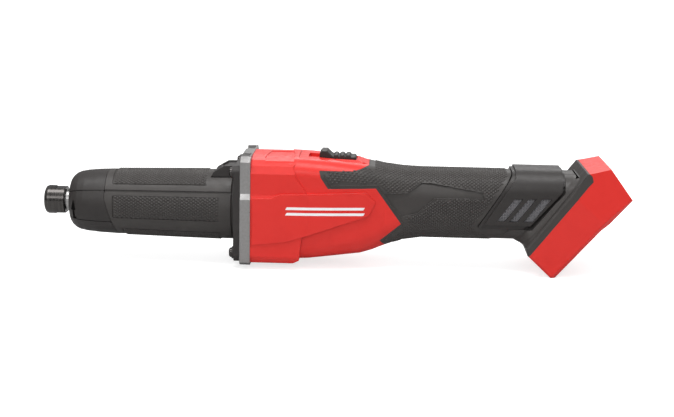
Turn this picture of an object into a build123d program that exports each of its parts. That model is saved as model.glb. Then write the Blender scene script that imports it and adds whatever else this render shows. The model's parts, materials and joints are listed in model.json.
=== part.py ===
from build123d import *
import math
import os

os.makedirs("parts", exist_ok=True)

# Cordless straight die grinder, bare tool without its battery pack.
# Frame: +X runs along the spindle from the collet to the battery foot, +Z is up,
# -Y is the left side of the tool. The origin is on the spindle axis at the nut face.

# ---- driving dimensions (mm) ---------------------------------------------------
COLLET_BORE_R = 3.175        # quarter-inch shank
COLLET_LENGTH = 18.8
TAPER_DEG = 8.0              # half angle of the collet taper
NUT_R = 11.0
NUT_LENGTH = 16.0
THREAD_R = 7.0               # M14 spindle nose
NECK_JOURNAL_R = 8.0         # bright shaft behind the nut
SPINDLE_JOURNAL_R = 6.0      # inside the neck bearings
SPINDLE_END = 147.0

NOSE_FACE = 20.5
NOSE_END = 49.6
NOSE_KINK_Z = 6.0
NOSE_KINK_SLOPE = 0.28
GRIP_R_FRONT = 24.9
GRIP_R_REAR = 26.9
GRIP_END = 146.6

PLATE_X = 148.8              # bolted plate of the neck housing
FLANGE_X0 = 153.6
FLANGE_X1 = 161.6
FLANGE_TOP = 41.7
FLANGE_BOTTOM = -40.0

WALL = 2.6                   # plastic wall of the clamshell
SKIN = 1.6                   # rubber overmould thickness
HANDLE_TOP = 31.7
HANDLE_BOTTOM = -20.6
HANDLE_HALF_W = 23.6

FOOT_TILT = 48.7             # slope of the battery slide, degrees
FOOT_HALF_W = 35.0
SLIDE_START = 222.5          # along the slide: open end
SLIDE_END = 311.8            # along the slide: closed end
SLIDE_FACE = 322.0           # across the slide: face toward the pack

DECK_Z = 36.8                # floor of the switch track
GAP = 0.3                    # gap between pieces that move past each other
FAR = 90.0                   # reach of cutting and keeping blocks


# ---- helpers -------------------------------------------------------------------
def prism(points, y0, y1):
    """Polygon drawn in the XZ side view, extruded from y0 to y1."""
    outline = [Vector(x, y0, z) for x, z in points]
    face = make_face(Polyline(*outline, close=True))
    return extrude(face, amount=y1 - y0, dir=(0, 1, 0))


def plan(points, z0, z1):
    """Polygon drawn in the XY plan view, extruded from z0 to z1."""
    outline = [Vector(x, y, z0) for x, y in points]
    face = make_face(Polyline(*outline, close=True))
    return extrude(face, amount=z1 - z0, dir=(0, 0, 1))


def slab(points, x0, x1):
    """Polygon drawn in the YZ front view, extruded from x0 to x1."""
    outline = [Vector(x0, y, z) for y, z in points]
    face = make_face(Polyline(*outline, close=True))
    return extrude(face, amount=x1 - x0, dir=(1, 0, 0))


def turned(points):
    """Closed (x, radius) profile revolved about the spindle axis."""
    outline = [Vector(x, r, 0) for x, r in points]
    return revolve(make_face(Polyline(*outline, close=True)), axis=Axis.X)


def ring(x0, x1, outer, inner=0.0):
    return turned([(x0, inner), (x1, inner), (x1, outer), (x0, outer)])


def box(x0, x1, y0, y1, z0, z1):
    centre = Pos((x0 + x1) / 2, (y0 + y1) / 2, (z0 + z1) / 2)
    return centre * Box(x1 - x0, y1 - y0, z1 - z0)


def rod(start, end, radius):
    """Straight cylinder between two points."""
    line = Line(start, end)
    return sweep(Plane(origin=start, z_dir=line % 0) * Circle(radius), path=line)


def foot(u, v):
    """Side-view point from its place along (u) and across (v) the battery slide."""
    c = math.cos(math.radians(FOOT_TILT))
    s = math.sin(math.radians(FOOT_TILT))
    return (u * c + v * s, u * s - v * c)


def foot_prism(points, y0, y1):
    return prism([foot(u, v) for u, v in points], y0, y1)


def foot_box(u0, u1, v0, v1, y0, y1):
    return foot_prism([(u0, v0), (u1, v0), (u1, v1), (u0, v1)], y0, y1)


def section(x, top, bottom, half_w, radius, inset=0.0):
    """Rounded cross-section of the body at one station."""
    height = top - bottom - 2 * inset
    width = 2 * (half_w - inset)
    corner = max(radius - inset, 1.5)
    plane = Plane(origin=(x, 0, (top + bottom) / 2), x_dir=(0, 1, 0), z_dir=(1, 0, 0))
    return plane * RectangleRounded(width, height, corner)


def polar(radius, degrees, x):
    """Point on a circle about the spindle axis, zero degrees toward +Z."""
    a = math.radians(degrees)
    return (x, radius * math.sin(a), radius * math.cos(a))


def group(pieces):
    return Compound(children=list(pieces))


def save(name, shape):
    shape.label = name
    export_step(shape, "parts/" + name + ".step")



# ---- nose: nut, collet, spindle ------------------------------------------------
nut = turned([
    (0.0, 4.9), (1.5, 4.9), (3.8, 6.2), (4.75, 6.2), (4.75, 5.25), (5.4, 5.25),
    (5.4, 7.1), (NUT_LENGTH, 7.1), (NUT_LENGTH, NUT_R - 0.5), (NUT_LENGTH - 0.5, NUT_R),
    (2.6, NUT_R), (0.9, NUT_R - 0.7), (0.0, NUT_R - 2.2),
])
nut_flats = [box(7.5, NUT_LENGTH + 1, -15, 15, 9.6, 15), box(7.5, NUT_LENGTH + 1, -15, 15, -15, -9.6)]
save("collet_nut", nut - nut_flats)

taper = math.tan(math.radians(TAPER_DEG))
collet = turned([
    (0.0, COLLET_BORE_R), (0.0, 4.4), (0.4, 4.75), (1.6, 4.75), (3.8, 6.05), (4.6, 6.05),
    (4.6, 5.1), (5.6, 5.1), (5.6, 5.8), (COLLET_LENGTH, 5.8 - taper * (COLLET_LENGTH - 5.6)),
    (COLLET_LENGTH, COLLET_BORE_R),
])
for k in range(3):
    front_slot = box(-1, 15.5, 0, 9, -0.3, 0.3)
    rear_slot = box(4.2, 22, 0, 9, -0.3, 0.3)
    collet -= Rot(120 * k, 0, 0) * front_slot
    collet -= Rot(120 * k + 60, 0, 0) * rear_slot
save("collet", collet)

seat_r0 = 5.8 + 0.08
seat_end = 21.0
spindle = turned([
    (6.0, seat_r0), (seat_end, seat_r0 - taper * (seat_end - 6.0)), (seat_end, 3.6), (62, 3.6),
    (64, 0.0), (SPINDLE_END, 0.0), (SPINDLE_END, 4.6), (129.0, 4.6), (129.0, 5.0),
    (106.0, 5.0), (106.0, SPINDLE_JOURNAL_R), (25.6, SPINDLE_JOURNAL_R),
    (25.6, NECK_JOURNAL_R), (16.6, NECK_JOURNAL_R), (16.6, 6.6), (15.4, 6.6), (15.4, THREAD_R),
    (6.4, THREAD_R), (6.0, THREAD_R - 0.4),
])
flats = [box(17.0, 20.2, -12, 12, 7.0, 12), box(17.0, 20.2, -12, 12, -12, -7.0)]
flats += [box(134.0, 150, -8, 8, 3.6, 8), box(134.0, 150, -8, 8, -8, -3.6)]
save("spindle", spindle - flats)

# ---- bearings ------------------------------------------------------------------
def bearing(x, bore_r, outer_r, width, ball_r, ball_count):
    """Deep-groove bearing starting at x, as outer ring, inner ring and balls."""
    pitch = (bore_r + outer_r) / 2
    mid = x + width / 2
    groove = Pos(mid, 0, 0) * Rot(0, 90, 0) * Torus(pitch, ball_r + 0.04)
    land = ball_r * 0.55
    outer = ring(x, x + width, outer_r, pitch + land) - groove
    inner = ring(x, x + width, pitch - land, bore_r) - groove
    balls = []
    for k in range(ball_count):
        place = polar(pitch, 360 * k / ball_count, mid)
        balls.append(Pos(*place) * Sphere(ball_r))
    return outer, inner, balls


neck_a = bearing(26.0, 6.0, 14.0, 8.0, 2.38, 9)
neck_b = bearing(112.0, 5.0, 13.0, 8.0, 2.38, 8)
save("neck_bearing_outers", group([neck_a[0], neck_b[0]]))
save("neck_bearing_inners", group([neck_a[1], neck_b[1]]))
save("neck_bearing_balls", group(neck_a[2] + neck_b[2]))

rotor_a = bearing(155.2, 4.0, 11.0, 6.2, 1.98, 8)
rotor_b = bearing(228.0, 4.0, 9.5, 6.0, 1.6, 8)
save("rotor_bearing_outers", group([rotor_a[0], rotor_b[0]]))
save("rotor_bearing_inners", group([rotor_a[1], rotor_b[1]]))
save("rotor_bearing_balls", group(rotor_a[2] + rotor_b[2]))

# ---- neck ----------------------------------------------------------------------
save("bearing_spacer", ring(34.0, 44.0, 8.0, 6.0))
save("bearing_retainer", ring(22.2, 25.9, 15.6, 9.2) - [
    Pos(*polar(12.4, 90 * k + 45, 22.2)) * Rot(0, 90, 0) * Cylinder(1.2, 3.0) for k in range(4)])
save("dust_seal", ring(20.9, 22.1, 12.4, 8.06))

nose_cap = turned([
    (NOSE_FACE, 8.9), (NOSE_FACE, 15.0), (21.2, 17.4), (22.6, 19.4), (24.8, 21.2), (27.8, 22.6),
    (33.0, 23.6), (42.0, 24.5), (58.0, 25.2), (58.0, 21.9), (38.0, 21.9), (38.0, 18.2),
    (26.4, 18.2), (26.4, 15.7), (22.15, 15.7), (22.15, 12.5), (20.85, 12.5), (20.85, 8.9),
])


def seam_cutter(shift, side):
    """Everything behind (+1) or ahead (-1) of the kinked seam between cap and sleeve."""
    x = NOSE_END + shift
    low = x + NOSE_KINK_SLOPE * (40 + NOSE_KINK_Z)
    edge = [(x, 40), (x, NOSE_KINK_Z), (low, -40)]
    end = 400 if side > 0 else -100
    return prism(edge + [(end, -40), (end, 40)], -40, 40)


nose_cap -= seam_cutter(0.0, 1)
for angle in (61, -61, 119, -119):
    groove = Rot(-angle, 0, 0) * box(21.6, 70, -0.35, 0.35, 18.5, 30)
    shell = turned([(20, 40), (20, 16.4), (22.8, 18.6), (25.2, 20.6), (28.0, 21.9), (33.0, 22.9),
                    (42.0, 23.9), (58.0, 24.6), (70, 25.2), (70, 40)])
    nose_cap -= groove & shell
# raised rotation arrow on each cheek of the cap
arrow = prism([(25.6, 4.2), (23.9, -3.4), (25.1, -3.4), (25.1, -10.2), (27.6, -10.2),
               (27.6, -9.4), (26.0, -9.4), (26.0, -3.4), (27.2, -3.4)], -30, 30)
arrow_skin = turned([(22.6, 19.4), (24.8, 21.2), (27.8, 22.6), (27.8, 23.1), (24.6, 21.8), (22.3, 19.9)])
save("nose_cap", nose_cap)
save("rotation_arrows", group((arrow & arrow_skin).solids()))

# aluminium tube with the bearing seats, running back into the bolted plate
neck_tube = turned([
    (26.5, 14.0), (34.2, 14.0), (34.2, 10.5), (46.0, 10.5), (50.0, 13.4), (110.0, 13.4),
    (111.9, 13.0), (120.2, 13.0), (122.0, 13.6), (127.5, 13.6), (127.5, 16.4),
    (147.0, 16.4), (FLANGE_X0, 16.4), (FLANGE_X0, 22.6), (147.0, 22.6), (136.0, 20.8),
    (58.2, 20.8), (58.2, 21.8), (38.2, 21.8), (38.2, 18.1), (26.5, 18.1),
])
plate_outline = [
    (-33.0, 31.6), (-29.0, 34.4), (29.0, 34.4), (33.0, 31.6), (33.2, -33.6), (28.6, -38.4),
    (-28.6, -38.4), (-33.2, -33.6),
]
SCREWS = [(-27.6, 29.6), (27.6, 29.6), (-27.2, -32.0), (27.2, -32.0)]
collar = ring(GRIP_END + 0.2, FLANGE_X0, 26.6, 22.7)
plate = slab(plate_outline, PLATE_X, FLANGE_X0)
plate = chamfer(plate.edges().filter_by(Axis.X), 0.8)
plate -= ring(140, 160, 22.7)
for y, z in SCREWS:
    boss = Pos(PLATE_X - 0.6, y, z) * Rot(0, 90, 0) * Cylinder(4.6, 1.6)
    plate = plate + boss
neck_plate = plate + collar
# raised hood on top of the neck, sloping down toward the nose
hood = prism([
    (129.6, 23.0), (131.6, 26.6), (135.4, 29.0), (140.4, 31.8),
    (151.0, 32.0), (151.0, 19.0), (129.6, 19.0)], -14, 14)
hood = chamfer(hood.edges().filter_by(Axis.X), 3.6)
hood_pocket = prism([
    (140.9, 36.0), (135.8, 29.0), (136.8, 28.6), (141.2, 31.0), (147.0, 31.1), (147.0, 36.0)], -8.6, 8.6)
hood -= ring(100, 160, 24.4)
grip_shell_rear = ring(120, GRIP_END + 0.2, 27.2)
neck_plate = neck_plate + (hood - grip_shell_rear) + (hood & box(GRIP_END + 0.2, 155, -20, 20, 0, 60))
neck_plate -= hood_pocket
for y, z in SCREWS:
    neck_plate -= Pos(150, y, z) * Rot(0, 90, 0) * Cylinder(2.3, 20)
    neck_plate -= Pos(PLATE_X - 2.0, y, z) * Rot(0, 90, 0) * Cylinder(3.9, 3.0)
save("neck_tube", neck_tube)
save("neck_plate", neck_plate)


def grip_radius(x):
    return GRIP_R_FRONT + (GRIP_R_REAR - GRIP_R_FRONT) * (x - NOSE_END) / (GRIP_END - NOSE_END)


grip = turned([
    (44, 21.9), (58.3, 21.9), (58.3, 20.9), (136.0, 20.9), (GRIP_END, 22.75),
    (GRIP_END, 26.4), (GRIP_END - 0.8, grip_radius(GRIP_END)),
    (100.0, grip_radius(100.0) + 0.1), (60.0, grip_radius(60.0)), (44.0, grip_radius(44.0)),
])
grip -= seam_cutter(0.25, -1)


def skin_band(x0, x1, depth):
    """Thin shell at the sleeve surface, used to cut grooves of constant depth."""
    return turned([(x0, 40), (x0, grip_radius(x0) - depth), (x1, grip_radius(x1) - depth), (x1, 40)])


PANELS = {  # angle window of each textured panel, degrees from the top
    "top": (-48, 48, 55.5, 127.0),
    "left": (-109, -71, 56.5, 137.0),
    "right": (71, 109, 56.5, 137.0),
    "bottom": (136, 224, 62.5, 137.0),
}
line_w = 0.45
for first, last, x0, x1 in PANELS.values():
    for angle in (first, last):
        wall = Rot(-angle, 0, 0) * box(x0, x1, -line_w, line_w, 20, 40)
        grip -= wall & skin_band(x0, x1, 0.7)
    for x in (x0, x1):
        sector = [Vector(x - line_w, 0, 0)]
        for step in range(7):
            a = first + (last - first) * step / 6
            sector.append(Vector(*polar(60, a, x - line_w)))
        wedge = extrude(make_face(Polyline(*sector, close=True)), amount=2 * line_w, dir=(1, 0, 0))
        grip -= wedge & skin_band(x - 2, x + 2, 0.7)
for angle in (-62, 62):
    wall = Rot(-angle, 0, 0) * box(44, GRIP_END + 1, -1.1, 1.1, 20, 40)
    grip -= wall & skin_band(44, GRIP_END + 1, 0.9)
grip -= hood
save("neck_grip", grip)

screw_set = []
for y, z in SCREWS:
    head = Pos(PLATE_X - 2.0, y, z) * Rot(0, 90, 0) * Cylinder(3.6, 3.0)
    head = chamfer(head.edges().group_by(Axis.X)[0], 0.9)
    socket = Pos(PLATE_X - 3.1, y, z) * Rot(0, 90, 0) * Cylinder(1.7, 2.6)
    shank = Pos(PLATE_X + 11.5, y, z) * Rot(0, 90, 0) * Cylinder(2.0, 24.2)
    screw_set.append(head + shank - socket)
save("neck_screws", group(screw_set))
save("preload_spring", ring(120.4, 121.6, 12.8, 9.4))

# ---- flange --------------------------------------------------------------------
flange_outline = [
    (-35.0, 10.0), (-33.6, 14.5), (-33.6, 38.2), (-28.6, FLANGE_TOP), (28.6, FLANGE_TOP),
    (33.6, 38.2), (33.6, 14.5), (35.0, 10.0), (35.0, -37.8), (32.4, FLANGE_BOTTOM),
    (-32.4, FLANGE_BOTTOM), (-35.0, -37.8),
]
flange = slab(flange_outline, FLANGE_X0, FLANGE_X1)
flange = chamfer(flange.edges().group_by(Axis.X)[0], 0.5)
for y0 in (-26.5, 10.5):
    flange -= box(FLANGE_X0 - 1, FLANGE_X1 - 1.2, y0, y0 + 16.0, FLANGE_TOP - 2.6, 60)
flange += ring(FLANGE_X0 - 6.0, FLANGE_X0 + 1.0, 16.2, 12.0)
flange -= ring(FLANGE_X0 + 1.6, FLANGE_X1 + 1, 11.0)
flange -= ring(FLANGE_X0 - 8, FLANGE_X1 + 1, 8.6)
# exhaust windows that let the cooling air out past the neck plate
for side in (-1, 1):
    window = slab([(side * 16, 31.0), (side * 4, 33.4), (side * 4, 28.6), (side * 14, 24.6)], 150, 170)
    flange -= window
    flange -= slab([(side * 17, -33.5), (side * 4, -36.5), (side * 4, -29.0), (side * 15, -24.0)], 150, 170)
for y, z in SCREWS:
    flange -= Pos(157, y, z) * Rot(0, 90, 0) * Cylinder(2.3, 20)
save("motor_flange", flange)

# ---- motor ---------------------------------------------------------------------
ROTOR_X0, ROTOR_X1 = 184.0, 214.0
rotor_shaft = ring(150.0, 161.6, 4.0) + ring(161.6, 220.0, 4.9) + ring(220.0, 234.4, 4.0)
save("rotor_shaft", rotor_shaft)
coupling = ring(134.6, 153.4, 8.2, 4.0)
coupling -= ring(134, 148.6, 4.66)
coupling += box(134.6, 148.0, -4.5, 4.5, 3.65, 5.4) & ring(134.6, 148.0, 6.0)
coupling += box(134.6, 148.0, -4.5, 4.5, -5.4, -3.65) & ring(134.6, 148.0, 6.0)
save("drive_coupling", coupling)
save("rotor_core", ring(ROTOR_X0, ROTOR_X1, 12.4, 4.9))
magnets = []
for k in range(4):
    arc = ring(ROTOR_X0, ROTOR_X1, 15.0, 12.4)
    wedge = slab([(0, 0), (-19.5, 24), (19.5, 24)], ROTOR_X0, ROTOR_X1)
    magnets.append(Rot(90 * k, 0, 0) * (arc & wedge))
save("rotor_magnets", group(magnets))
fan = ring(164.0, 166.0, 29.0, 4.9) + ring(166.0, 176.0, 7.4, 4.9)
for k in range(11):
    blade = box(166.0, 175.0, -0.7, 0.7, 9.0, 28.6)
    fan += Rot(360 * k / 11, 0, 0) * Pos(0, 0, 0) * blade
fan += ring(174.0, 175.0, 10.5, 7.0)
save("cooling_fan", fan)

STATOR_R = 28.6
stator = ring(ROTOR_X0 + 1, ROTOR_X1 - 1, STATOR_R, 23.8)
for k in range(6):
    tooth = box(ROTOR_X0 + 1, ROTOR_X1 - 1, -3.6, 3.6, 16.4, 24.4)
    shoe = slab([(-6.4, 17.6), (-5.6, 15.2), (5.6, 15.2), (6.4, 17.6)], ROTOR_X0 + 1, ROTOR_X1 - 1)
    shoe -= ring(ROTOR_X0, ROTOR_X1, 15.6)
    stator += Rot(60 * k, 0, 0) * (tooth + shoe)
save("stator_core", stator)
coils = []
insulators = []
for k in range(6):
    outer_coil = box(ROTOR_X0 - 5.0, ROTOR_X1 + 5.0, -6.6, 6.6, 17.9, 22.6)
    hollow = box(ROTOR_X0 + 0.2, ROTOR_X1 - 0.2, -3.7, 3.7, 10, 30)
    ends = outer_coil.edges().filter_by(Axis.Z)
    coils.append(Rot(60 * k, 0, 0) * (fillet(ends, 2.4) - hollow))
save("stator_coils", group(coils))
for x0, x1 in ((ROTOR_X0 - 6.0, ROTOR_X0 + 1), (ROTOR_X1 - 1, ROTOR_X1 + 6.0)):
    insulators.append(ring(x0, x1, 27.6, 23.9))
save("stator_insulators", group(insulators))
save("sensor_board", ring(221.4, 223.0, 27.0, 11.5))
save("fan_baffle", ring(177.2, 178.0, 31.0, 17.2) + ring(176.4, 184.4, 31.0, 29.2))

# ---- housing stations: x, top, bottom, half width, corner radius -----------------
STATIONS = [
    (190.0, 40.3, -36.9, 32.0, 11.6),
    (205.0, 39.8, -36.2, 31.7, 12.0),
    (222.0, 38.6, -34.4, 30.9, 13.0),
    (244.0, 36.0, -32.4, 28.6, 15.0),
    (253.0, 34.6, -30.2, 27.0, 16.2),
    (262.0, 33.2, -27.0, 25.6, 17.5),
    (276.0, 32.0, -22.4, 24.2, 19.0),
    (290.0, HANDLE_TOP, HANDLE_BOTTOM, HANDLE_HALF_W, 20.0),
    (404.0, HANDLE_TOP, HANDLE_BOTTOM, HANDLE_HALF_W, 20.0),
]


def body(inset, stations=STATIONS):
    """Outer form of the housing behind the motor block, shrunk evenly by the inset."""
    return loft([section(*s, inset=inset) for s in stations], ruled=True)


def motor_block(x0, x1, inset):
    """Deeper motor housing behind the flange, arched on top."""
    outline = [
        (-34.2 + inset, 8.0), (-33.0 + inset, 13.6), (-33.0 + inset, 29.6), (-30.6 + inset, 35.4),
        (-25.6 + inset, 38.9 - inset), (-12.0, 41.2 - inset), (12.0, 41.2 - inset),
        (25.6 - inset, 38.9 - inset), (30.6 - inset, 35.4), (33.0 - inset, 29.6),
        (33.0 - inset, 13.6), (34.2 - inset, 8.0), (34.2 - inset, -34.0), (30.4 - inset, -38.9 + inset),
        (-30.4 + inset, -38.9 + inset), (-34.2 + inset, -34.0),
    ]
    return slab(outline, x0, x1)


# ---- foot ----------------------------------------------------------------------
foot_outline = [
    (226.6, 290.6), (297.6, 285.2), (301.6, 288.4), (SLIDE_END, 295.6), (305.8, 323.5), (281.6, 323.5),
    (274.0, SLIDE_FACE), (225.0, SLIDE_FACE), (SLIDE_START, 319.4), (223.2, 295.2),
]
cos_t = math.cos(math.radians(FOOT_TILT))
sin_t = math.sin(math.radians(FOOT_TILT))
foot_body = foot_prism(foot_outline, -FOOT_HALF_W, FOOT_HALF_W)
rim_edges = foot_body.edges().filter_by(lambda e: abs(abs(e.center().Y) - FOOT_HALF_W) < 0.1)
foot_body = chamfer(rim_edges, 1.4)


def slide_plane(v):
    """Plane parallel to the battery slide: local x runs along it, local y across the tool."""
    x, z = foot(0.0, v)
    return Plane(origin=(x, 0, z), x_dir=(cos_t, 0, sin_t), z_dir=(-sin_t, 0, cos_t))


def slide_plan(points, v0, v1):
    """Plan-view polygon in the slide's own plane, from depth v0 to v1."""
    plane = slide_plane(v1)
    outline = [plane.from_local_coords(Vector(u, y, 0)) for u, y in points]
    face = make_face(Polyline(*outline, close=True))
    return extrude(face, amount=v1 - v0, dir=(-sin_t, 0, cos_t))


def narrowing(half_w):
    """Side wedges that narrow the closed end toward the stop."""
    wedges = []
    for side in (-1, 1):
        wedge = [
            (277.0, side * (half_w + 0.2)), (313.0, side * (half_w - 3.6)),
            (313.0, side * (half_w + 8)), (277.0, side * (half_w + 8))]
        wedges.append(slide_plan(wedge, 270.0, 340.0))
    return wedges


foot_body -= narrowing(FOOT_HALF_W)
# wider bevel along both long edges of the slide face
low_x, low_z = foot(200.0, 0.0)
end_plane = Plane(origin=(low_x, 0, low_z), x_dir=(0, 1, 0), z_dir=(cos_t, 0, sin_t))
for side in (-1, 1):
    corner = [(side * 35.4, -319.0), (side * 30.4, -324.0), (side * 35.4, -324.0)]
    edge_line = [end_plane.from_local_coords(Vector(a, b, 0)) for a, b in corner]
    face = make_face(Polyline(*edge_line, close=True))
    foot_body -= extrude(face, amount=130.0, dir=(cos_t, 0, sin_t))

pack_space = foot_box(215.0, 294.0, 300.0, 330.0, -30.4, 30.4)
rails = [foot_box(230.0, 294.2, 313.6, 318.0, y0, y0 + 4.2) for y0 in (26.4, -30.6)]
terminal_window = foot_box(262.0, 291.0, 284.0, 301.0, -18.3, 18.3)
bumper_zone = foot_prism([
    (215, 270), (298.6, 270), (298.6, 288.8), (296.6, 291.8), (226.6, 296.2), (215, 296.9)], -FAR, FAR)
foot_inner = foot_prism([
    (228.4, 292.1), (296.4, 286.9), (299.0, 290.0), (299.0, 330.0), (224.8, 330.0), (224.8, 296.0)],
    -FOOT_HALF_W + SKIN, FOOT_HALF_W - SKIN)
foot_inner -= narrowing(FOOT_HALF_W - SKIN)

# flared throat between the handle and the foot
# each row: place across the slide, start and end along it, half width, corner radius
THROAT = [
    (274.0, 216.4, 281.4, 22.6, 16.0),
    (283.0, 222.8, 289.4, 24.4, 15.0),
    (288.0, 225.4, 293.6, 28.4, 10.0),
    (291.0, 226.2, 296.4, 33.4, 5.0),
    (293.0, 227.6, 296.4, 33.4, 5.0),
]


def throat(inset):
    faces = []
    for v, u0, u1, half_w, corner in THROAT:
        plane = slide_plane(v)
        centre = plane.from_local_coords(Vector((u0 + u1) / 2, 0, 0))
        place = Plane(origin=centre, x_dir=plane.x_dir, z_dir=plane.z_dir)
        length = u1 - u0 - 2 * inset
        faces.append(place * RectangleRounded(length, 2 * (half_w - inset), max(corner - inset, 1.5)))
    return loft(faces, ruled=True)


def beyond(v):
    """Everything on the pack side of a plane parallel to the slide."""
    return foot_box(100.0, 420.0, v, 480.0, -FAR, FAR)


# ---- overmould region (side view) ----------------------------------------------
island_plan = [
    (199.0, -16.6), (238.6, -16.6), (250.2, -7.6), (251.6, 0.0), (250.2, 7.6), (238.6, 16.6), (199.0, 16.6)]
island_side = [
    (199, 29.5), (199, 39.8), (211, 38.8), (241, 38.0), (248.6, 35.2), (251.6, 31.0), (251.6, 29.5)]
island_front = [
    (-17.0, 29.0), (-16.6, 31.4), (-11.6, 37.0), (-9.4, 40.0),
    (9.4, 40.0), (11.6, 37.0), (16.6, 31.4), (17.0, 29.0)]
island = plan(island_plan, 20, 60) & prism(island_side, -FAR, FAR) & slab(island_front, 190, 260)
RUBBER_EDGE = [
    (212.6, 70), (212.6, 33.0), (213.8, 27.6), (219.4, 19.2), (255.0, 19.6), (274.4, -7.4),
    (258.6, -20.8), (263.0, -26.0), (263.0, -70), (600, -70), (600, 70)]
island_zone = prism([
    (190.0, 32.6), (212.6, 32.6), (237.5, 32.0), (242.8, 33.2), (247.1, 34.6),
    (251.5, 35.6), (252.5, 60.0), (190.0, 60.0)], -FAR, FAR)
rubber_zone = prism(RUBBER_EDGE, -FAR, FAR) - island_zone

COVER = [
    (356.9, 60), (356.9, 30.0), (332.4, -8.0), (333.0, -9.3),
    (372.0, -9.3), (388.0, 10.7), (395.6, 19.0), (396.2, 60)]
COVER_ZONE = [
    (356.6, 60), (356.6, 30.1), (331.9, -8.0), (332.7, -9.6),
    (372.2, -9.6), (388.3, 10.5), (395.9, 18.9), (396.5, 60)]
cover_zone = prism(COVER_ZONE, -FAR, FAR)

# ---- clamshell -----------------------------------------------------------------
outer = body(0.0) - beyond(290.0)
core = body(SKIN)
cavity = body(SKIN + WALL, [(188.0,) + STATIONS[0][1:]] + STATIONS[1:]) - beyond(297.0)
block_keep = prism([
    (100, 60), (197.6, 60), (196.6, 38.4), (193.4, 35.2), (195.6, 27.6), (204, 15.0),
    (199.0, -30.0), (198.4, -36.0), (192.2, -39.6), (192.2, -60), (100, -60)], -FAR, FAR)
front = motor_block(FLANGE_X1, 206, 0.0)
low_edges = front.edges().filter_by(Axis.X).filter_by(lambda e: abs(e.center().Z + 36) < 4)
front = chamfer(low_edges, 1.0) & block_keep
block_cavity = motor_block(FLANGE_X1 - 1, 192.0, WALL)

throat_outer = throat(0.0)
throat_core = throat(SKIN)
skin_zone = rubber_zone - core
housing = (outer - skin_zone) + front + island

# side panel: proud of the tapering body, its edges are the embossed creases
PANEL = [
    (163.0, 11.0), (176.6, 11.4), (184.0, 14.6), (248.0, 16.4),
    (255.0, 9.0), (250.0, -1.2), (188.8, -21.4), (163.0, -24.4)]
PANEL_HALF_W = [
    (162.0, 35.0), (190.0, 35.0), (205.0, 34.6), (222.0, 33.0), (244.0, 30.2), (253.0, 28.5), (262.0, 27.0)]
panel_form = loft([section(x, 30.0, -30.0, w, 4.0) for x, w in PANEL_HALF_W], ruled=True)
side_panel = (panel_form & prism(PANEL, -FAR, FAR)) - box(150, 300, -26.0, 26.0, -60, 60)

foot_red = foot_body - (bumper_zone - foot_inner)
housing = housing + side_panel + [throat_core - beyond(292.9)] + foot_red

# screw bosses: x, z of the clamshell screws, driven from the right side
HOUSING_SCREWS = [
    (240.0, -25.0), (265.0, 22.0), (306.0, 24.0), (306.0, -12.6),
    (341.0, 24.0), (341.0, -12.6), (392.0, 24.0), (376.0, -3.0)]
boss_form = body(SKIN + 0.4) - beyond(289.0)
bosses = [(Pos(x, 0, z) * Rot(90, 0, 0) * Cylinder(3.6, 70)) & boss_form for x, z in HOUSING_SCREWS]
columns = [(Pos(172.0, y, z) * Rot(0, 90, 0) * Cylinder(4.4, 20.8)) & front for y, z in SCREWS]

motor_rib = ring(196.0, 199.0, 36.0, 28.7) & box(190, 205, -30.0, 30.0, -33.6, 37.4)
rear_wall = ring(224.4, 227.4, 33.0, 9.6) & box(220, 240, -27.8, 27.8, -31, 35)
rear_pocket = ring(224.4, 236.6, 12.6, 9.6) + rear_wall
rear_pocket -= box(220, 230, -7.5, 7.5, 26.5, 40)
spring_stop = box(256.8, 258.6, -5.0, 5.0, 23.0, 30.6)

cavity = cavity + block_cavity + ring(176.0, 224.4, 28.7)
housing -= cavity
housing = housing + bosses + columns + motor_rib + rear_pocket + spring_stop
housing -= pack_space
housing = housing + rails

holes = [terminal_window]
holes += [Pos(168.0, y, z) * Rot(0, 90, 0) * Cylinder(2.05, 22) for y, z in SCREWS]
holes += [Pos(x, 5.0, z) * Rot(90, 0, 0) * Cylinder(1.85, 34) for x, z in HOUSING_SCREWS]
counterbores = [Pos(x, 40.0, z) * Rot(90, 0, 0) * Cylinder(3.3, 52) for x, z in HOUSING_SCREWS]
# label recess on top of the motor housing
label_plan = [(172.6, -27.4), (171.4, -20.0), (174.6, 5.0), (191.6, 5.0), (193.0, -6.0), (193.6, -27.4)]
holes.append(plan(label_plan, 30, 60) - motor_block(FLANGE_X1, 210, 0.6))
# switch track: pocket in the deck, thumb notch ahead of it and the slot for the stem
holes.append(box(203.6, 240.2, -9.2, 9.2, DECK_Z, 60))
holes.append(prism([(203.7, DECK_Z), (199.6, 60), (203.7, 60)], -3.6, 3.6))
holes.append(box(214.8, 228.8, -3.0, 3.0, 20, 60))
# intake windows under the vent covers
intake = [(358, 11.5), (382, 11.5), (369, -1.5), (346, -1.5)]
holes += [prism(intake, -40, -15), prism(intake, 15, 40)]
housing -= holes + counterbores

keep_left = box(100, 500, -FAR, 0, -FAR, FAR)
keep_right = box(100, 500, 0, FAR, -FAR, FAR)
save("housing_left", housing & keep_left)
save("housing_right", housing & keep_right)

clam_screws = []
for x, z in HOUSING_SCREWS:
    head = Pos(x, 15.6, z) * Rot(90, 0, 0) * Cylinder(3.1, 3.0)
    head -= Pos(x, 16.7, z) * Rot(90, 0, 0) * Cylinder(1.3, 1.8)
    shank = Pos(x, 3.2, z) * Rot(90, 0, 0) * Cylinder(1.8, 22.0)
    clam_screws.append(head + shank)
save("housing_screws", group(clam_screws))

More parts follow.
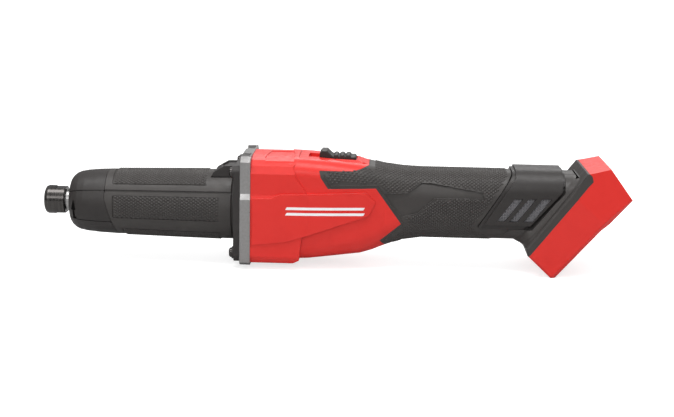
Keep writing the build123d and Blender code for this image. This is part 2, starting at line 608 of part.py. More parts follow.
# ---- rubber overmould ----------------------------------------------------------
passage = body(SKIN + WALL, STATIONS[-2:]) - beyond(297.0)
handle_rubber = (outer - core) & rubber_zone
handle_core = core - beyond(290.0)
throat_rubber = throat_outer - throat_core - handle_core - beyond(292.0)
bumper = (foot_body & bumper_zone) - foot_inner - throat_core - handle_core
rubber = handle_rubber + (throat_rubber & box(330, 440, -FAR, FAR, -FAR, FAR)) + bumper
INSET = [
    (260.8, 15.3), (278.6, 16.2), (289.1, 23.5), (296.3, 23.6), (326.8, 19.0),
    (334.9, 17.3), (336.6, 13.0), (299.0, 12.5), (287.1, 1.2), (274.9, -2.2)]
inset_cut = (prism(INSET, -FAR, -15.0) + prism(INSET, 15.0, FAR)) - body(0.85)
rubber -= [cover_zone, island, front, side_panel, passage, terminal_window, inset_cut]
rubber -= [foot_inner, throat_core] + counterbores
save("handle_grip_left", rubber & keep_left)
save("handle_grip_right", rubber & keep_right)


# ---- vent covers ---------------------------------------------------------------
def saddle(inset):
    """Straight-sided saddle form around the rear of the handle."""
    plane = Plane(origin=(325, 0, 5.5), x_dir=(0, 1, 0), z_dir=(1, 0, 0))
    return extrude(plane * RectangleRounded(2 * (26.0 - inset), 2 * (29.0 - inset), 17.0 - inset), amount=80)


SLOTS = [
    [(358.5, 13.9), (364.9, 14.0), (351.9, -3.3), (345.9, -3.1)],
    [(368.9, 14.1), (374.9, 14.3), (361.3, -3.4), (355.2, -3.4)],
    [(379.3, 14.4), (386.2, 14.6), (372.6, -3.5), (365.7, -3.5)],
]
COVER_TOP = [
    (359.3, 60), (359.3, 29.2), (336.4, -6.4), (371.0, -6.4), (387.4, 12.2), (394.0, 20.0), (394.6, 60)]
cover = (saddle(1.6) & prism(COVER, -FAR, FAR)) + (saddle(0.0) & prism(COVER_TOP, -FAR, FAR))
mesh_space = prism([(356.0, 16.4), (389.4, 16.4), (372.4, -5.6), (341.4, -5.6)], -23.9, 23.9)
cover -= [saddle(3.9), mesh_space, box(300, 420, -FAR, FAR, -FAR, -9.3)]
cover -= [prism(s, -FAR, FAR) for s in SLOTS]
cover -= throat(-0.2)
save("vent_cover_left", cover & box(300, 420, -FAR, -0.1, -FAR, FAR))
save("vent_cover_right", cover & box(300, 420, 0.1, FAR, -FAR, FAR))
MESH = [(356.2, 16.2), (389.0, 16.2), (372.3, -5.4), (341.8, -5.4)]
for name, side in (("left", -1), ("right", 1)):
    lo, hi = sorted((side * 23.3, side * 23.8))
    openings = []
    for i in range(24):
        for j in range(8):
            x = 344.0 + 2.0 * i
            z = -3.4 + 2.4 * j
            if 357.4 + 0.66 * (z - 16.2) < x < 387.6 + 0.77 * (z - 16.2):
                openings.append(box(x - 0.65, x + 0.65, lo - 1, hi + 1, z - 0.85, z + 0.85))
    save("vent_mesh_" + name, prism(MESH, lo, hi) - openings)

# ---- slide switch --------------------------------------------------------------
button_side = [
    (211.4, DECK_Z + GAP), (211.8, 42.4), (213.4, 44.3), (217.2, 44.3), (220.2, 41.5), (222.0, 40.2)]
for k in range(3):
    x = 224.2 + 4.6 * k
    button_side += [(x - 0.9, 41.5), (x + 0.9, 41.5), (x + 2.2, 40.1)]
button_side += [(238.6, 40.1), (239.4, 39.2), (239.4, DECK_Z + GAP)]
button = prism(button_side, -8.4, 8.4)
button = chamfer(button.edges().filter_by(lambda e: abs(abs(e.center().Y) - 8.4) < 0.1), 0.5)
stem = box(222.0, 228.4, -2.6, 2.6, 30.8, DECK_Z + GAP + 0.5)
save("switch_button", button + stem)
carrier = box(214.0, 248.0, -6.0, 6.0, 29.0, 30.6) - box(221.9, 228.5, -2.7, 2.7, 28, 31)
carrier += box(222.0, 228.4, -4.4, -2.75, 30.5, 32.2) + box(222.0, 228.4, 2.75, 4.4, 30.5, 32.2)
carrier += prism([(238.5, 29.1), (241.4, 25.2), (245.4, 25.2), (245.4, 29.1)], -2.0, 2.0)
carrier += box(245.3, 248.0, -2.4, 2.4, 25.2, 29.1)
save("switch_carrier", carrier)
save("switch_module", box(230.0, 250.0, -7.0, 7.0, 15.2, 24.0) - box(231.7, 236.3, -2.3, 2.3, 20.0, 25))
save("switch_plunger", box(232.0, 236.0, -2.0, 2.0, 21.8, 26.2))
coil = Pos(248.3, 0, 27.2) * Rot(0, 90, 0) * Helix(pitch=1.5, height=8.0, radius=1.6)
wire_plane = Plane(origin=coil @ 0, z_dir=coil % 0)
save("switch_spring", sweep(wire_plane * Circle(0.25), path=coil))

# ---- electronics ---------------------------------------------------------------
tray = box(286.0, 346.0, -16.0, 16.0, -8.4, 6.4) - box(287.6, 344.4, -14.4, 14.4, -6.4, 9.0)
tray -= [box(292.0 + 7.6 * k, 295.0 + 7.6 * k, -17, 17, -9.0, -7.4) for k in range(7)]
save("electronics_tray", tray)
save("circuit_board", box(288.0, 344.0, -14.2, 14.2, 3.4, 5.0))
transistors = []
for k in range(6):
    for y in (-13.0, 3.4):
        transistors.append(box(292.0 + 9.0 * k, 298.4 + 9.0 * k, y, y + 9.6, -6.4, -4.0))
save("power_transistors", group(transistors))
save("capacitors", group([Pos(300.0 + 18.0 * k, 0, 10.0) * Cylinder(5.0, 10.0) for k in range(3)]))
save("phase_wires", group([rod((238.6, y, -12.0), (289.0, y, 8.9), 1.1) for y in (-9.0, 0.0, 9.0)]))
window = foot(272.0, 290.2)
save("battery_leads", group([rod((338.0, y, 7.3), (window[0], y, window[1]), 1.3) for y in (-6.0, 6.0)]))
block = foot_box(262.4, 290.6, 291.6, 302.0, -18.0, 18.0) + foot_box(274.0, 290.6, 301.9, 309.0, -15.0, 15.0)
blades = [foot_box(262.0, 288.4, 303.0, 307.2, y - 0.4, y + 0.4) for y in (-11.0, -5.5, 0.0, 5.5, 11.0)]
save("terminal_block", block - blades)
save("terminal_blades", group(blades))
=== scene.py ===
import json
import math

import bpy
from mathutils import Matrix, Vector
from mathutils.bvhtree import BVHTree


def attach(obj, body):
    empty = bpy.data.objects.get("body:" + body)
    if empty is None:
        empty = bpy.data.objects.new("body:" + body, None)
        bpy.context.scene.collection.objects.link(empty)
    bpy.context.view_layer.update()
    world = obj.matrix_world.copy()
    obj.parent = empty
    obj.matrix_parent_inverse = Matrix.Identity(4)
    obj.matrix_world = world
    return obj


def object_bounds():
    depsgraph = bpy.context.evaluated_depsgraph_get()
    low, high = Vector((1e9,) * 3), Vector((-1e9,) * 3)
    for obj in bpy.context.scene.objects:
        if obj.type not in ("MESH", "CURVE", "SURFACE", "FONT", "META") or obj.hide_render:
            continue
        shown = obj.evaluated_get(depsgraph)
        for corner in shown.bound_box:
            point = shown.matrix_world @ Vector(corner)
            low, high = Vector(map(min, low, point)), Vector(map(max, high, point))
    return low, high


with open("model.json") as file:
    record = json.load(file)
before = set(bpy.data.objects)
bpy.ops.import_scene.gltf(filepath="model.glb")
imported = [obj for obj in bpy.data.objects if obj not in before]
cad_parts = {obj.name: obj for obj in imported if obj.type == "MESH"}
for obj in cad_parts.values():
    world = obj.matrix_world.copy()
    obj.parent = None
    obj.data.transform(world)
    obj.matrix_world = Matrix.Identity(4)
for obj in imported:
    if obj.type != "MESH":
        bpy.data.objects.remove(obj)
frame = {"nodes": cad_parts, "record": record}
CAD_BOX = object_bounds()
NODES = frame["nodes"]
MM = 0.001

# ---- node-material helpers -------------------------------------------------------


class Nodes:
    """A material's node tree with short calls for the nodes used here."""

    def __init__(self, name):
        self.material = bpy.data.materials.new(name)
        self.material.use_nodes = True
        self.tree = self.material.node_tree
        self.shader = next(n for n in self.tree.nodes if n.type == "BSDF_PRINCIPLED")
        self.object_space = self.tree.nodes.new("ShaderNodeTexCoord").outputs["Object"]

    def add(self, kind, **inputs):
        node = self.tree.nodes.new(kind)
        for key, value in inputs.items():
            self.put(node.inputs[key.replace("_", " ")], value)
        return node

    def put(self, socket, value):
        if isinstance(value, bpy.types.NodeSocket):
            self.tree.links.new(value, socket)
        else:
            socket.default_value = value

    def set(self, **values):
        for key, value in values.items():
            self.put(self.shader.inputs[key.replace("_", " ")], value)

    def stretch(self, scale):
        node = self.add("ShaderNodeMapping", Vector=self.object_space, Scale=scale)
        return node.outputs["Vector"]

    def noise(self, scale, detail=3.0, rough=0.55, vector=None):
        node = self.add(
            "ShaderNodeTexNoise", Vector=vector or self.object_space,
            Scale=scale, Detail=detail, Roughness=rough)
        return node.outputs["Fac"]

    def cells(self, scale):
        node = self.add("ShaderNodeTexVoronoi", Vector=self.object_space, Scale=scale)
        return node.outputs["Distance"]

    def remap(self, value, low, high, to_low, to_high):
        node = self.add("ShaderNodeMapRange", Value=value)
        for key, number in zip(("From Min", "From Max", "To Min", "To Max"), (low, high, to_low, to_high)):
            node.inputs[key].default_value = number
        return node.outputs["Result"]

    def blend(self, factor, first, second):
        node = self.add("ShaderNodeMix")
        node.data_type = "RGBA"
        self.put(node.inputs["Factor"], factor)
        for socket, value in ((node.inputs[6], first), (node.inputs[7], second)):
            self.put(socket, (*value, 1.0) if isinstance(value, tuple) else value)
        return node.outputs[2]

    def maths(self, operation, first, second):
        node = self.add("ShaderNodeMath")
        node.operation = operation
        self.put(node.inputs[0], first)
        self.put(node.inputs[1], second)
        return node.outputs[0]

    def relief(self, height, strength, depth, below=None):
        node = self.add("ShaderNodeBump", Height=height, Strength=strength, Distance=depth)
        if below is not None:
            self.put(node.inputs["Normal"], below)
        return node.outputs["Normal"]

    def soft_edge(self, radius):
        node = self.add("ShaderNodeBevel", Radius=radius)
        node.samples = 6
        return node.outputs["Normal"]

    def axis(self, name):
        node = self.add("ShaderNodeSeparateXYZ", Vector=self.object_space)
        return node.outputs[name]

    def dust(self, colour, dusty, amount, scale=70.0):
        """Colour with broad, faint patches of a second one."""
        patch = self.remap(self.noise(scale, 5.0, 0.62), 0.48, 0.72, 0.0, amount)
        return self.blend(patch, colour, dusty)


def plastic(name, colour, second, rough, grain, depth, edge=0.35):
    """Moulded plastic: eroded-tool grain, slight shade changes and softly rounded edges."""
    n = Nodes(name)
    n.set(Base_Color=n.dust(colour, second, 0.55))
    n.set(Roughness=n.remap(n.noise(240.0, 4.0), 0.3, 0.7, rough - 0.05, rough + 0.07))
    n.set(Specular_IOR_Level=0.4)
    n.set(Normal=n.relief(n.noise(grain, 2.0), 0.35, depth, n.soft_edge(edge * MM)))
    return n.material


def metal(name, colour, second, rough, stretch, depth, edge=0.25, metallic=1.0):
    """Machined or cast metal: directional tool marks, roughness streaks and small stains."""
    n = Nodes(name)
    lines = n.noise(900.0, 3.0, 0.6, n.stretch(stretch))
    n.set(Base_Color=n.blend(n.remap(lines, 0.35, 0.65, 0.0, 0.5), colour, second), Metallic=metallic)
    smear = n.noise(110.0, 4.0)
    n.set(Roughness=n.remap(n.maths("ADD", lines, smear), 0.7, 1.3, rough - 0.08, rough + 0.1))
    n.set(Normal=n.relief(lines, 0.4, depth, n.soft_edge(edge * MM)))
    return n.material


# ---- the materials of the record's slots -----------------------------------------
RED = (0.66, 0.024, 0.018)
RED_DEEP = (0.60, 0.019, 0.014)
# painted shade colour for the shell under the grip, the vent covers and round one screw bore
PAINTED_SHADE_BLACK = (0.020, 0.018, 0.017)
RUBBER = (0.036, 0.032, 0.030)
RUBBER_DUSTY = (0.046, 0.041, 0.038)
SLIDE_TILT = math.radians(48.7)
SHADE_ZONE_X = 0.285                   # painted shade: the shell is painted black from here back, under the grip
SHADE_ZONE_ACROSS = 0.2922             # and red again below this distance toward the slide face
SHADE_ZONE_ALONG = 0.2965              # and above this distance along it
SCREW_X, SCREW_Z = 0.2650, 0.0220       # the screw under the rubber but ahead of the painted-shade zone
SCREW_SHADE = 0.0042                    # radius of the painted shade, black, round its bore


def red_shell_painted_shade(name):
    """Red shell with painted shade: black where it lies under the grip and the vent covers and round one
    screw bore, red elsewhere.
    """
    n = Nodes(name)
    x, z = n.axis("X"), n.axis("Z")
    c, s = math.cos(SLIDE_TILT), math.sin(SLIDE_TILT)
    along = n.maths("ADD", n.maths("MULTIPLY", x, c), n.maths("MULTIPLY", z, s))
    across = n.maths("SUBTRACT", n.maths("MULTIPLY", x, s), n.maths("MULTIPLY", z, c))
    # painted shade: black where the shell lies under the grip and the vent covers
    painted_shade = n.maths("MULTIPLY", n.maths("GREATER_THAN", x, SHADE_ZONE_X),
                   n.maths("LESS_THAN", across, SHADE_ZONE_ACROSS))
    painted_shade = n.maths("MULTIPLY", painted_shade, n.maths("LESS_THAN", along, SHADE_ZONE_ALONG))
    # painted shade: a black disc round the screw bore
    from_screw = n.maths("ADD", n.maths("POWER", n.maths("SUBTRACT", x, SCREW_X), 2.0),
                         n.maths("POWER", n.maths("SUBTRACT", z, SCREW_Z), 2.0))
    bore = n.maths("LESS_THAN", from_screw, SCREW_SHADE ** 2)
    painted_shade = n.maths("MAXIMUM", painted_shade, bore)
    n.set(Base_Color=n.blend(painted_shade, n.dust(RED, RED_DEEP, 0.5), PAINTED_SHADE_BLACK))
    n.set(Roughness=n.remap(n.noise(240.0, 4.0), 0.3, 0.7, 0.30, 0.42), Specular_IOR_Level=0.32)
    n.set(Normal=n.relief(n.noise(2600.0, 2.0), 0.35, 0.00005, n.soft_edge(0.5 * MM)))
    return n.material


def rubber(name):
    n = Nodes(name)
    n.set(Base_Color=n.dust(RUBBER, RUBBER_DUSTY, 0.7))
    n.set(Roughness=n.remap(n.noise(180.0, 4.0), 0.3, 0.7, 0.42, 0.56), Specular_IOR_Level=0.4)
    grain = n.maths("ADD", n.noise(2600.0, 2.0), n.maths("MULTIPLY", n.cells(1400.0), 0.5))
    n.set(Normal=n.relief(grain, 0.35, 0.00006, n.soft_edge(0.3 * MM)))
    return n.material


def laminations(name):
    n = Nodes(name)
    wave = n.add("ShaderNodeTexWave", Vector=n.object_space, Scale=330.0, Distortion=0.05)
    wave.wave_type, wave.bands_direction = "BANDS", "X"
    sheet = wave.outputs["Fac"]
    n.set(Base_Color=n.blend(sheet, (0.22, 0.22, 0.235), (0.45, 0.45, 0.46)), Metallic=0.9)
    n.set(Roughness=n.remap(n.noise(300.0), 0.3, 0.7, 0.32, 0.5))
    n.set(Normal=n.relief(sheet, 0.6, 0.00012, n.soft_edge(0.15 * MM)))
    return n.material


def windings(name):
    n = Nodes(name)
    wave = n.add("ShaderNodeTexWave", Vector=n.object_space, Scale=420.0, Distortion=0.5)
    wave.wave_type, wave.bands_direction = "BANDS", "DIAGONAL"
    wire = wave.outputs["Fac"]
    n.set(Base_Color=n.blend(wire, (0.34, 0.11, 0.035), (0.80, 0.38, 0.17)), Metallic=0.85)
    n.set(Roughness=n.remap(n.noise(500.0), 0.3, 0.7, 0.22, 0.4))
    n.set(Normal=n.relief(wire, 0.8, 0.00025))
    return n.material


def circuit(name):
    n = Nodes(name)
    grid = n.add("ShaderNodeTexBrick", Vector=n.stretch((1, 1, 1)), Scale=260.0, Mortar_Size=0.04)
    grid.inputs["Color1"].default_value = (0.012, 0.10, 0.045, 1)
    grid.inputs["Color2"].default_value = (0.016, 0.13, 0.055, 1)
    grid.inputs["Mortar"].default_value = (0.03, 0.22, 0.09, 1)
    pads = n.remap(n.cells(330.0), 0.1, 0.16, 1.0, 0.0)
    n.set(Base_Color=n.blend(pads, grid.outputs["Color"], (0.7, 0.62, 0.4)))
    n.set(Roughness=n.remap(n.noise(200.0), 0.3, 0.7, 0.2, 0.34), Coat_Weight=0.4)
    n.set(Normal=n.relief(grid.outputs["Fac"], 0.3, 0.00005))
    return n.material


def woven(name):
    n = Nodes(name)
    wires = n.add("ShaderNodeTexChecker", Vector=n.object_space, Scale=1900.0)
    n.set(Base_Color=n.blend(wires.outputs["Fac"], (0.16, 0.155, 0.165), (0.30, 0.295, 0.31)), Metallic=0.7)
    n.set(Roughness=n.remap(n.noise(900.0), 0.3, 0.7, 0.35, 0.5))
    n.set(Normal=n.relief(wires.outputs["Fac"], 0.5, 0.0001))
    return n.material


def felt(name):
    n = Nodes(name)
    fibre = n.noise(2400.0, 6.0, 0.7, n.stretch((0.4, 1, 1)))
    n.set(Base_Color=n.blend(fibre, (0.14, 0.12, 0.10), (0.34, 0.31, 0.27)))
    n.set(Roughness=n.remap(fibre, 0.3, 0.7, 0.8, 0.95), Sheen_Weight=0.4)
    n.set(Normal=n.relief(fibre, 0.8, 0.0003))
    return n.material


SLOTS = {
    "black_steel": metal(
        "black_steel", (0.058, 0.054, 0.052), (0.105, 0.100, 0.097), 0.22, (1, 0.05, 0.05), 0.00004, 0.3),
    "ground_steel": metal(
        "ground_steel", (0.33, 0.325, 0.32), (0.44, 0.435, 0.43), 0.36, (1, 0.04, 0.04), 0.00003, 0.2),
    "ball_steel": metal(
        "ball_steel", (0.72, 0.72, 0.73), (0.80, 0.80, 0.81), 0.12, (1, 1, 1), 0.00001, 0.1),
    "felt": felt("felt"),
    "black_plastic": plastic(
        "black_plastic", (0.020, 0.017, 0.016), (0.029, 0.025, 0.0235), 0.46, 3000.0, 0.00005),
    "cast_aluminium": metal(
        "cast_aluminium", (0.26, 0.255, 0.252), (0.33, 0.325, 0.322),
        0.34, (0.6, 0.6, 0.6), 0.00003, 0.35, 0.9),
    "grip_rubber": rubber("grip_rubber"),
    "lamination": laminations("lamination"),
    "magnet": metal("magnet", (0.24, 0.24, 0.26), (0.33, 0.33, 0.35), 0.26, (0.3, 1, 1), 0.00002),
    "copper": windings("copper"),
    "white_plastic": plastic(
        "white_plastic", (0.72, 0.71, 0.66), (0.60, 0.58, 0.52), 0.40, 2200.0, 0.00004),
    "circuit_green": circuit("circuit_green"),
    "red_plastic": red_shell_painted_shade("red_plastic"),
    "screen_mesh": woven("screen_mesh"),
    "capacitor_sleeve": plastic(
        "capacitor_sleeve", (0.03, 0.04, 0.10), (0.05, 0.06, 0.13), 0.28, 1500.0, 0.00002),
    "wire_sleeve": plastic(
        "wire_sleeve", (0.035, 0.033, 0.032), (0.06, 0.055, 0.05), 0.5, 1800.0, 0.00004, 0.1),
}
for part in frame["record"]["subparts"]:
    mesh = NODES[part["node"]].data
    mesh.materials.clear()
    mesh.materials.append(SLOTS[part["material_slot"]])

MARK_DARK = plastic(
    "mark_dark", (0.003, 0.003, 0.003), (0.005, 0.005, 0.005), 0.8, 2600.0, 0.00002, 0.1)
MARK_DARK.node_tree.nodes["Principled BSDF"].inputs["Specular IOR Level"].default_value = 0.05
NODES["rotation_arrows"].data.materials[0] = MARK_DARK
MARK = plastic(
    "mark_white", (0.83, 0.82, 0.84), (0.76, 0.75, 0.77), 0.4, 2600.0, 0.00002, 0.1)

# ---- mesh helpers -----------------------------------------------------------------


def tree_of(*names):
    """Ray-test tree over CAD nodes, in the shared frame."""
    verts, faces = [], []
    for name in names:
        mesh = NODES[name].data
        base = len(verts)
        verts += [v.co.copy() for v in mesh.vertices]
        faces += [[base + i for i in p.vertices] for p in mesh.polygons]
    return BVHTree.FromPolygons(verts, faces)


def piece(name, verts, faces, material, body="tool", smooth=True):
    mesh = bpy.data.meshes.new(name)
    mesh.from_pydata(verts, [], faces)
    mesh.materials.append(material)
    mesh.polygons.foreach_set("use_smooth", [smooth] * len(mesh.polygons))
    mesh.update()
    obj = bpy.data.objects.new(name, mesh)
    bpy.context.scene.collection.objects.link(obj)
    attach(obj, body)
    return obj


def inside(point, outline):
    x, y = point
    hit = False
    for (x0, y0), (x1, y1) in zip(outline, outline[1:] + outline[:1]):
        if (y0 > y) != (y1 > y) and x < x0 + (y - y0) * (x1 - x0) / (y1 - y0):
            hit = not hit
    return hit


def edge_distance(point, outline):
    p = Vector(point)
    best = 1e9
    for a, b in zip(outline, outline[1:] + outline[:1]):
        a, b = Vector(a), Vector(b)
        t = max(0.0, min(1.0, (p - a).dot(b - a) / (b - a).length_squared))
        best = min(best, (p - a - (b - a) * t).length)
    return best


def lay_polygon(name, outline, tree, side, lift, material, step=1.6):
    """Thin skin on a side face: outline in the side view (mm), cast onto the surface."""
    xs = [p[0] for p in outline]
    zs = [p[1] for p in outline]
    verts, faces, index = [], [], {}

    def cast(x, z):
        key = (round(x, 3), round(z, 3))
        if key not in index:
            start = Vector((x * MM, side * 0.09, z * MM))
            hit, normal, _, _ = tree.ray_cast(start, Vector((0, -side, 0)))
            if hit is None:
                return None
            if normal.y * side < 0:
                normal = -normal
            index[key] = len(verts)
            verts.append(hit + normal * (lift * MM))
        return index[key]

    rows = max(1, round((max(zs) - min(zs)) / step))
    for r in range(rows):
        z0 = min(zs) + (max(zs) - min(zs)) * r / rows
        z1 = min(zs) + (max(zs) - min(zs)) * (r + 1) / rows
        spans = []
        for z in (z0 + 1e-4, z1 - 1e-4):
            cut = []
            for (ax, az), (bx, bz) in zip(outline, outline[1:] + outline[:1]):
                if (az > z) != (bz > z):
                    cut.append(ax + (z - az) * (bx - ax) / (bz - az))
            cut.sort()
            spans.append(cut)
        if len(spans[0]) < 2 or len(spans[1]) < 2:
            continue
        cols = max(1, round((spans[0][-1] - spans[0][0]) / step))
        for c in range(cols):
            quad = []
            for z, cut, order in ((z0, spans[0], (0, 1)), (z1, spans[1], (1, 0))):
                for o in order:
                    x = cut[0] + (cut[-1] - cut[0]) * (c + o) / cols
                    quad.append(cast(x, z))
            if None not in quad and len(set(quad)) == 4:
                faces.append(quad if side < 0 else quad[::-1])
    return piece(name, verts, faces, material)


def tube(points, normals, radius, sides=8):
    """Round bead along a chain of points; half sunk into the surface under it."""
    verts, faces = [], []
    for i, p in enumerate(points):
        ahead = points[min(i + 1, len(points) - 1)] - points[max(i - 1, 0)]
        ahead.normalize()
        up = (normals[i] - ahead * normals[i].dot(ahead)).normalized()
        across = ahead.cross(up)
        for k in range(sides):
            a = 2 * math.pi * k / sides
            verts.append(p + (up * math.sin(a) + across * math.cos(a)) * radius)
    for i in range(len(points) - 1):
        for k in range(sides):
            a, b = i * sides + k, i * sides + (k + 1) % sides
            faces.append((a, b, b + sides, a + sides))
    faces.append(tuple(range(sides))[::-1])
    faces.append(tuple((len(points) - 1) * sides + k for k in range(sides)))
    return verts, faces


def bead(name, path, tree, side, radius, material, slot):
    """Raised line on a side face along a side-view path (mm)."""
    points, normals = [], []
    for (ax, az), (bx, bz) in zip(path, path[1:]):
        count = max(2, round(math.hypot(bx - ax, bz - az) / 1.2))
        for k in range(count + (1 if (bx, bz) == path[-1] else 0)):
            x = ax + (bx - ax) * k / count
            z = az + (bz - az) * k / count
            start = Vector((x * MM, side * 0.09, z * MM))
            hit, normal, _, _ = tree.ray_cast(start, Vector((0, -side, 0)))
            if hit is None:
                continue
            points.append(hit)
            normals.append(normal if normal.y * side > 0 else -normal)
    verts, faces = tube(points, normals, radius * MM)
    return piece(name, verts, faces, material)


def dome(verts, faces, centre, normal, along, length, width, height, lean=0.0, sides=6):
    """Low blister on a surface; lean raises one end so that rows read as scales."""
    across = normal.cross(along).normalized()
    along = across.cross(normal).normalized()
    base = len(verts)
    for k in range(sides):
        a = 2 * math.pi * (k + 0.5) / sides
        offset = along * (length * math.cos(a)) + across * (width * math.sin(a))
        verts.append(centre + offset - normal * (0.06 * MM))
    for k in range(sides):
        a = 2 * math.pi * (k + 0.5) / sides
        rise = height * (0.8 + lean * math.cos(a))
        offset = along * (length * 0.62 * math.cos(a)) + across * (width * 0.62 * math.sin(a))
        verts.append(centre + offset + normal * rise)
    verts.append(centre + normal * height * (1.0 + lean * 0.3))
    top = base + 2 * sides
    for k in range(sides):
        j = (k + 1) % sides
        faces.append((base + k, base + j, base + sides + j, base + sides + k))
        faces.append((base + sides + k, base + sides + j, top))


# ---- textured panels of the neck grip ----------------------------------------------
grip_tree = tree_of("neck_grip")
NECK_PANELS = {
    "neck_scales_top": (-46.6, 46.6, 57.2, 125.4),
    "neck_scales_left": (-107.6, -72.4, 58.2, 135.4),
    "neck_scales_right": (72.4, 107.6, 58.2, 135.4),
    "neck_scales_bottom": (137.6, 222.4, 64.2, 135.4),
}
SCALE_LENGTH = 3.5        # pitch along the neck, two rows to a pitch
SCALE_WIDTH = 2.2         # pitch around it
SCALE_SIZE = (1.56 * MM, 1.02 * MM, 0.52 * MM)
SCALE_LEAN = 0.55
NECK_RADIUS = 25.6
NECK_FLOOR = 24.0         # nothing is laid deeper than this, in the grooves
HOOD_HALF_WIDTH, HOOD_START = 16.5, 126.0
# each panel: first and last angle from the top, first and last x
for name, (first, last, x0, x1) in NECK_PANELS.items():
    verts, faces = [], []
    across = max(1, round(math.radians(last - first) * NECK_RADIUS / SCALE_WIDTH))
    along = round((x1 - x0) / (SCALE_LENGTH * 0.5))
    for i in range(along + 1):
        x = x0 + (x1 - x0) * i / along
        for j in range(across + 1):
            f = (j + (0.5 if i % 2 else 0.0)) / across
            if f > 1.0:
                continue
            a = math.radians(first + (last - first) * f)
            out = Vector((0, math.sin(a), math.cos(a)))
            hit, normal, _, _ = grip_tree.ray_cast(Vector((x * MM, 0, 0)) + out * 0.06, -out)
            if hit is None or hit.yz.length < NECK_FLOOR * MM:
                continue
            if name.endswith("top") and abs(hit.y) < HOOD_HALF_WIDTH * MM and x > HOOD_START:
                continue
            normal = normal if normal.dot(out) > 0 else -normal
            dome(verts, faces, hit, normal, Vector((1, 0, 0)), *SCALE_SIZE, SCALE_LEAN)
    piece(name, verts, faces, SLOTS["grip_rubber"])

# ---- textured rubber of the handle ---------------------------------------------------
INSET = [(260.8, 15.3), (278.6, 16.2), (289.1, 23.5), (296.3, 23.6), (326.8, 19.0),
         (334.9, 17.3), (336.6, 13.0), (299.0, 12.5), (287.1, 1.2), (274.9, -2.2)]
TEXTURE_ZONE = [
    (217.6, 60.0), (217.0, 33.0), (218.2, 28.6), (221.8, 22.6), (257.2, 23.0), (279.6, -8.4),
    (265.6, -20.0), (270.0, -26.0), (352.0, -26.0), (328.6, -9.2), (354.6, 30.4), (354.6, 60.0)]
RUBBER_EDGE = [
    (216.0, 30.6), (217.0, 27.6), (221.2, 21.4), (256.4, 21.8), (276.8, -7.6), (262.4, -20.4)]
DOT_LENGTH = 3.2          # pitch along the handle, two rings to a pitch
DOT_ROWS = 5.4            # degrees between rows around the handle
DOT_SIZE = (1.24 * MM, 0.92 * MM, 0.58 * MM)
HANDLE_START, HANDLE_END, HANDLE_MIDDLE_Z = 218.0, 354.0, 5.5
ISLAND_END, ISLAND_HALF_WIDTH, ISLAND_Z = 253.5, 19.0, 28.5     # red island round the button
for side, word in ((-1, "left"), (1, "right")):
    tree = tree_of("handle_grip_" + word)
    shell = tree_of("housing_" + word, "vent_cover_" + word)
    verts, faces = [], []

    def consider(hit, normal, verts=verts, faces=faces):
        x, z = hit.x / MM, hit.z / MM
        if not inside((x, z), TEXTURE_ZONE) or edge_distance((x, z), TEXTURE_ZONE) < 0.9:
            return
        if inside((x, z), INSET) or edge_distance((x, z), INSET) < 1.0:
            return
        on_island = x < ISLAND_END and abs(hit.y) < ISLAND_HALF_WIDTH * MM and z > ISLAND_Z
        if abs(hit.y) < 0.5 * MM or on_island:
            return
        dome(verts, faces, hit, normal, Vector((1, 0, 0)), *DOT_SIZE)

    # rings of dots around the handle, cast toward its middle line
    for i in range(round((HANDLE_END - HANDLE_START) / (DOT_LENGTH * 0.5))):
        x = HANDLE_START + i * DOT_LENGTH * 0.5
        for j in range(round(176.0 / DOT_ROWS)):
            a = math.radians(2.5 + (j + (0.5 if i % 2 else 0.0)) * DOT_ROWS)
            out = Vector((0, side * math.sin(a), math.cos(a)))
            centre = Vector((x * MM, 0, HANDLE_MIDDLE_Z * MM))
            hit, normal, _, reach = tree.ray_cast(centre + out * 0.07, -out)
            over = shell.ray_cast(centre + out * 0.07, -out)[3]
            if hit is not None and (over is None or over > reach + 0.3 * MM):
                consider(hit, normal if normal.dot(out) > 0 else -normal)
    piece("handle_dots_" + word, verts, faces, SLOTS["grip_rubber"])
    rubber_look = (SLOTS["grip_rubber"], "grip_rubber")
    bead("handle_line_" + word, RUBBER_EDGE, tree, side, 0.42, *rubber_look)
    bead("inset_line_" + word, INSET + INSET[:1], tree, side, 0.34, *rubber_look)

# ---- woven screens behind the vent slots ---------------------------------------------------
SCREEN_Y = 23.2
SCREEN_TOP = (356.4, 388.6, 16.0)         # first and last x, and z
SCREEN_FOOT = (342.2, 372.1, -5.2)
SCREEN_CELLS = 40
SCREEN_WAVE = 0.10
for side, word in ((-1, "left"), (1, "right")):
    verts, faces = [], []
    for i in range(SCREEN_CELLS + 1):
        t = i / SCREEN_CELLS
        start, end, z = (a * (1 - t) + b * t for a, b in zip(SCREEN_FOOT, SCREEN_TOP))
        for j in range(SCREEN_CELLS + 1):
            x = start + (end - start) * j / SCREEN_CELLS
            wave = SCREEN_WAVE * (math.sin(math.pi * i) + math.cos(math.pi * (i + j)))
            verts.append((x * MM, side * (SCREEN_Y - wave) * MM, z * MM))
    for i in range(SCREEN_CELLS):
        for j in range(SCREEN_CELLS):
            a = i * (SCREEN_CELLS + 1) + j
            quad = (a, a + 1, a + SCREEN_CELLS + 2, a + SCREEN_CELLS + 1)
            faces.append(quad if side < 0 else quad[::-1])
    piece("vent_screen_" + word, verts, faces, SLOTS["screen_mesh"],
          "cover_" + word, False)

# ---- plain markings in place of the maker's ones -----------------------------------------
STRIPE_X = (188.0, 246.0)
STRIPE_Z = (3.4, -0.8)
STRIPE_HEIGHT = 2.0
STRIPE_LEAN = 1.2
for side, word in ((-1, "left"), (1, "right")):
    tree = tree_of("housing_" + word)
    for k, low in enumerate(STRIPE_Z):
        high, lean = low + STRIPE_HEIGHT, STRIPE_LEAN
        outline = [(STRIPE_X[0], low), (STRIPE_X[1], low),
                   (STRIPE_X[1] + lean, high), (STRIPE_X[0] + lean, high)]
        lay_polygon(f"side_stripe_{word}_{k + 1}", outline, tree, side, 0.05, MARK)

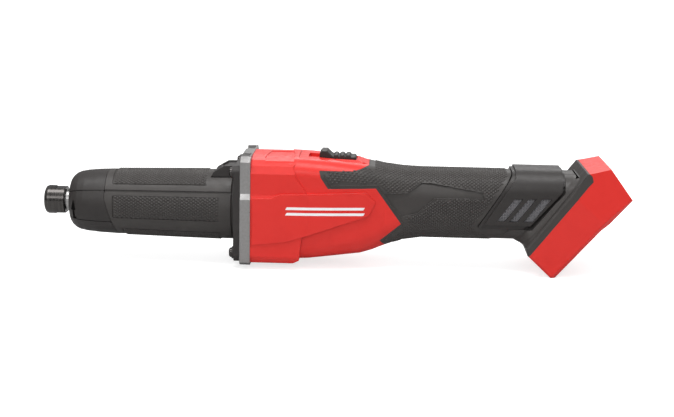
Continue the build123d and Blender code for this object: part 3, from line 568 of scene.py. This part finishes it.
# ---- camera, light, floor -------------------------------------------------------------
EYE = Vector((0.26243, -1.00596, 0.20583))
AIM = Vector((0.22526, 0.0, -0.00175))
ROLL = math.radians(1.05)
view = (AIM - EYE).normalized()
right = view.cross(Vector((0, 0, 1))).normalized()
up = right.cross(view)
right, up = right * math.cos(ROLL) + up * math.sin(ROLL), up * math.cos(ROLL) - right * math.sin(ROLL)
camera = bpy.data.objects.new("camera", bpy.data.cameras.new("camera"))
camera.data.sensor_width = 36.0
camera.data.lens = 71.34
camera.data.clip_end = 50.0
camera.matrix_world = Matrix.Translation(EYE) @ Matrix((right, up, -view)).transposed().to_4x4()
bpy.context.scene.collection.objects.link(camera)
bpy.context.scene.camera = camera


def softbox(name, place, target, width, height, power):
    lamp = bpy.data.lights.new(name, "AREA")
    lamp.shape = "RECTANGLE"
    lamp.size = width
    lamp.size_y = height
    lamp.energy = power
    obj = bpy.data.objects.new(name, lamp)
    obj.location = place
    obj.rotation_euler = (Vector(target) - Vector(place)).to_track_quat("-Z", "Y").to_euler()
    bpy.context.scene.collection.objects.link(obj)


softbox("top_light", (0.2, -0.25, 1.2), (0.22, 0, 0), 1.4, 0.5, 15.0)
softbox("front_light", (-0.05, -1.5, 0.72), (0.2, 0, 0), 1.6, 0.42, 9.0)
softbox("back_light", (0.5, 1.4, 0.8), (0.2, 0, 0), 1.2, 0.5, 5.0)


def seen_or_lit(tree, seen, lit):
    """A strength with one value where the camera looks straight at it and another for its light."""
    path = tree.nodes.new("ShaderNodeLightPath")
    mix = tree.nodes.new("ShaderNodeMix")
    tree.links.new(path.outputs["Is Camera Ray"], mix.inputs["Factor"])
    for socket, value in ((mix.inputs["A"], lit), (mix.inputs["B"], seen)):
        if isinstance(value, bpy.types.NodeSocket):
            tree.links.new(value, socket)
        else:
            socket.default_value = value
    return mix.outputs["Result"]


world = bpy.data.worlds.new("studio")
world.use_nodes = True
sky = world.node_tree
background = sky.nodes["Background"]
direction = sky.nodes.new("ShaderNodeTexCoord")
height = sky.nodes.new("ShaderNodeSeparateXYZ")
shade = sky.nodes.new("ShaderNodeMapRange")
sky.links.new(direction.outputs["Generated"], height.inputs[0])
sky.links.new(height.outputs["Z"], shade.inputs["Value"])
shade.inputs["From Min"].default_value = 0.05
shade.inputs["From Max"].default_value = 0.85
shade.inputs["To Min"].default_value = 0.13
shade.inputs["To Max"].default_value = 0.80
sky.links.new(seen_or_lit(sky, 1.0, shade.outputs["Result"]), background.inputs["Strength"])
background.inputs["Color"].default_value = (1.0, 1.0, 1.0, 1.0)
bpy.context.scene.world = world
bpy.context.scene.view_settings.view_transform = "Standard"

floor_z = CAD_BOX[0][2]
n = Nodes("floor")
n.set(Base_Color=n.blend(n.noise(3.0), (0.53, 0.53, 0.53), (0.56, 0.56, 0.56)), Roughness=0.9)
FLOOR_REACH = 6.0
steps = [FLOOR_REACH * (k / 2 - 1) for k in range(5)]
verts = [(x, y, floor_z) for y in steps for x in steps]
corners = [5 * row + column for row in range(4) for column in range(4)]
faces = [(a, a + 1, a + 6, a + 5) for a in corners]
n.set(Emission_Color=(1, 1, 1, 1), Emission_Strength=seen_or_lit(n.tree, 0.74, 0.02))
mesh = bpy.data.meshes.new("floor")
mesh.from_pydata(verts, [], faces)
mesh.materials.append(n.material)
floor = bpy.data.objects.new("floor", mesh)
bpy.context.scene.collection.objects.link(floor)
